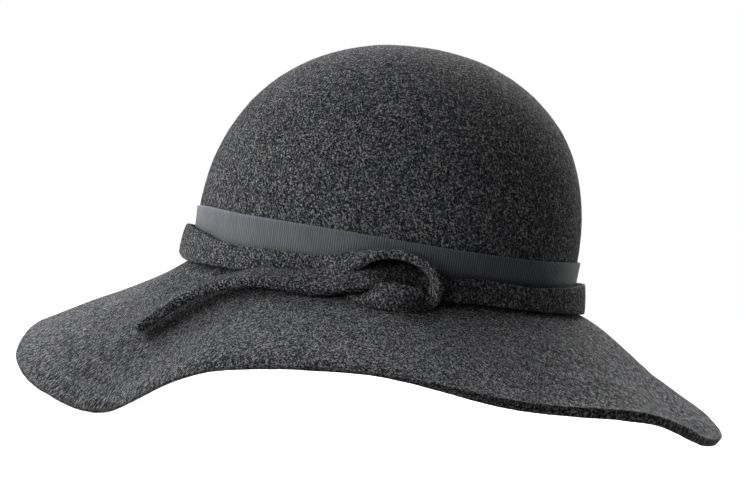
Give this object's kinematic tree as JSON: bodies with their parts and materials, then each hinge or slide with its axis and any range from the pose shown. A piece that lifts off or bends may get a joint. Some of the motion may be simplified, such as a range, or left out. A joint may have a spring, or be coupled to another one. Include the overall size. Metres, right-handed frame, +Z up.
{
  "type": "wide brim felt hat",
  "caption": "Round-crown wool felt hat with a wide waved brim, a grosgrain band and a knotted felt strap.",
  "frame": {"origin": "centre of the oval head opening, in the plane where crown and brim meet", "axes": "+Z up through the crown, +X towards the back of the head, -Y towards the side that carries the knot"},
  "size_m": [0.3787, 0.369, 0.2056],
  "materials": {
    "felt": "dark grey melange wool felt",
    "ribbon": "slate grey ribbed grosgrain",
    "lining_ribbon": "black ribbed grosgrain",
    "label_cloth": "plain woven tape, blank",
    "thread": "dark grey sewing thread"
  },
  "bodies": {
    "hat": {"crown": "felt", "brim": "felt", "headline_stitches": "thread", "ribbon_band": "ribbon", "ribbon_stitches": "thread", "sweatband": "lining_ribbon", "sweatband_stitches": "thread", "label_tab": "label_cloth", "label_stitches": "thread"},
    "strap_ring": {"strap": "felt"},
    "tail": {"strap_tail": "felt"}
  },
  "joints": [
    {"name": "strap_lift", "type": "slide", "parent": "hat", "child": "strap_ring", "axis": [0, 0, 1], "range_m": [0, 0.14]},
    {"name": "tail_lift", "type": "hinge", "parent": "strap_ring", "child": "tail", "pos_m": [-0.0265, -0.0995, 0.0095], "axis": [0.2, 0.9798, 0], "range_deg": [0, 60]}
  ]
}
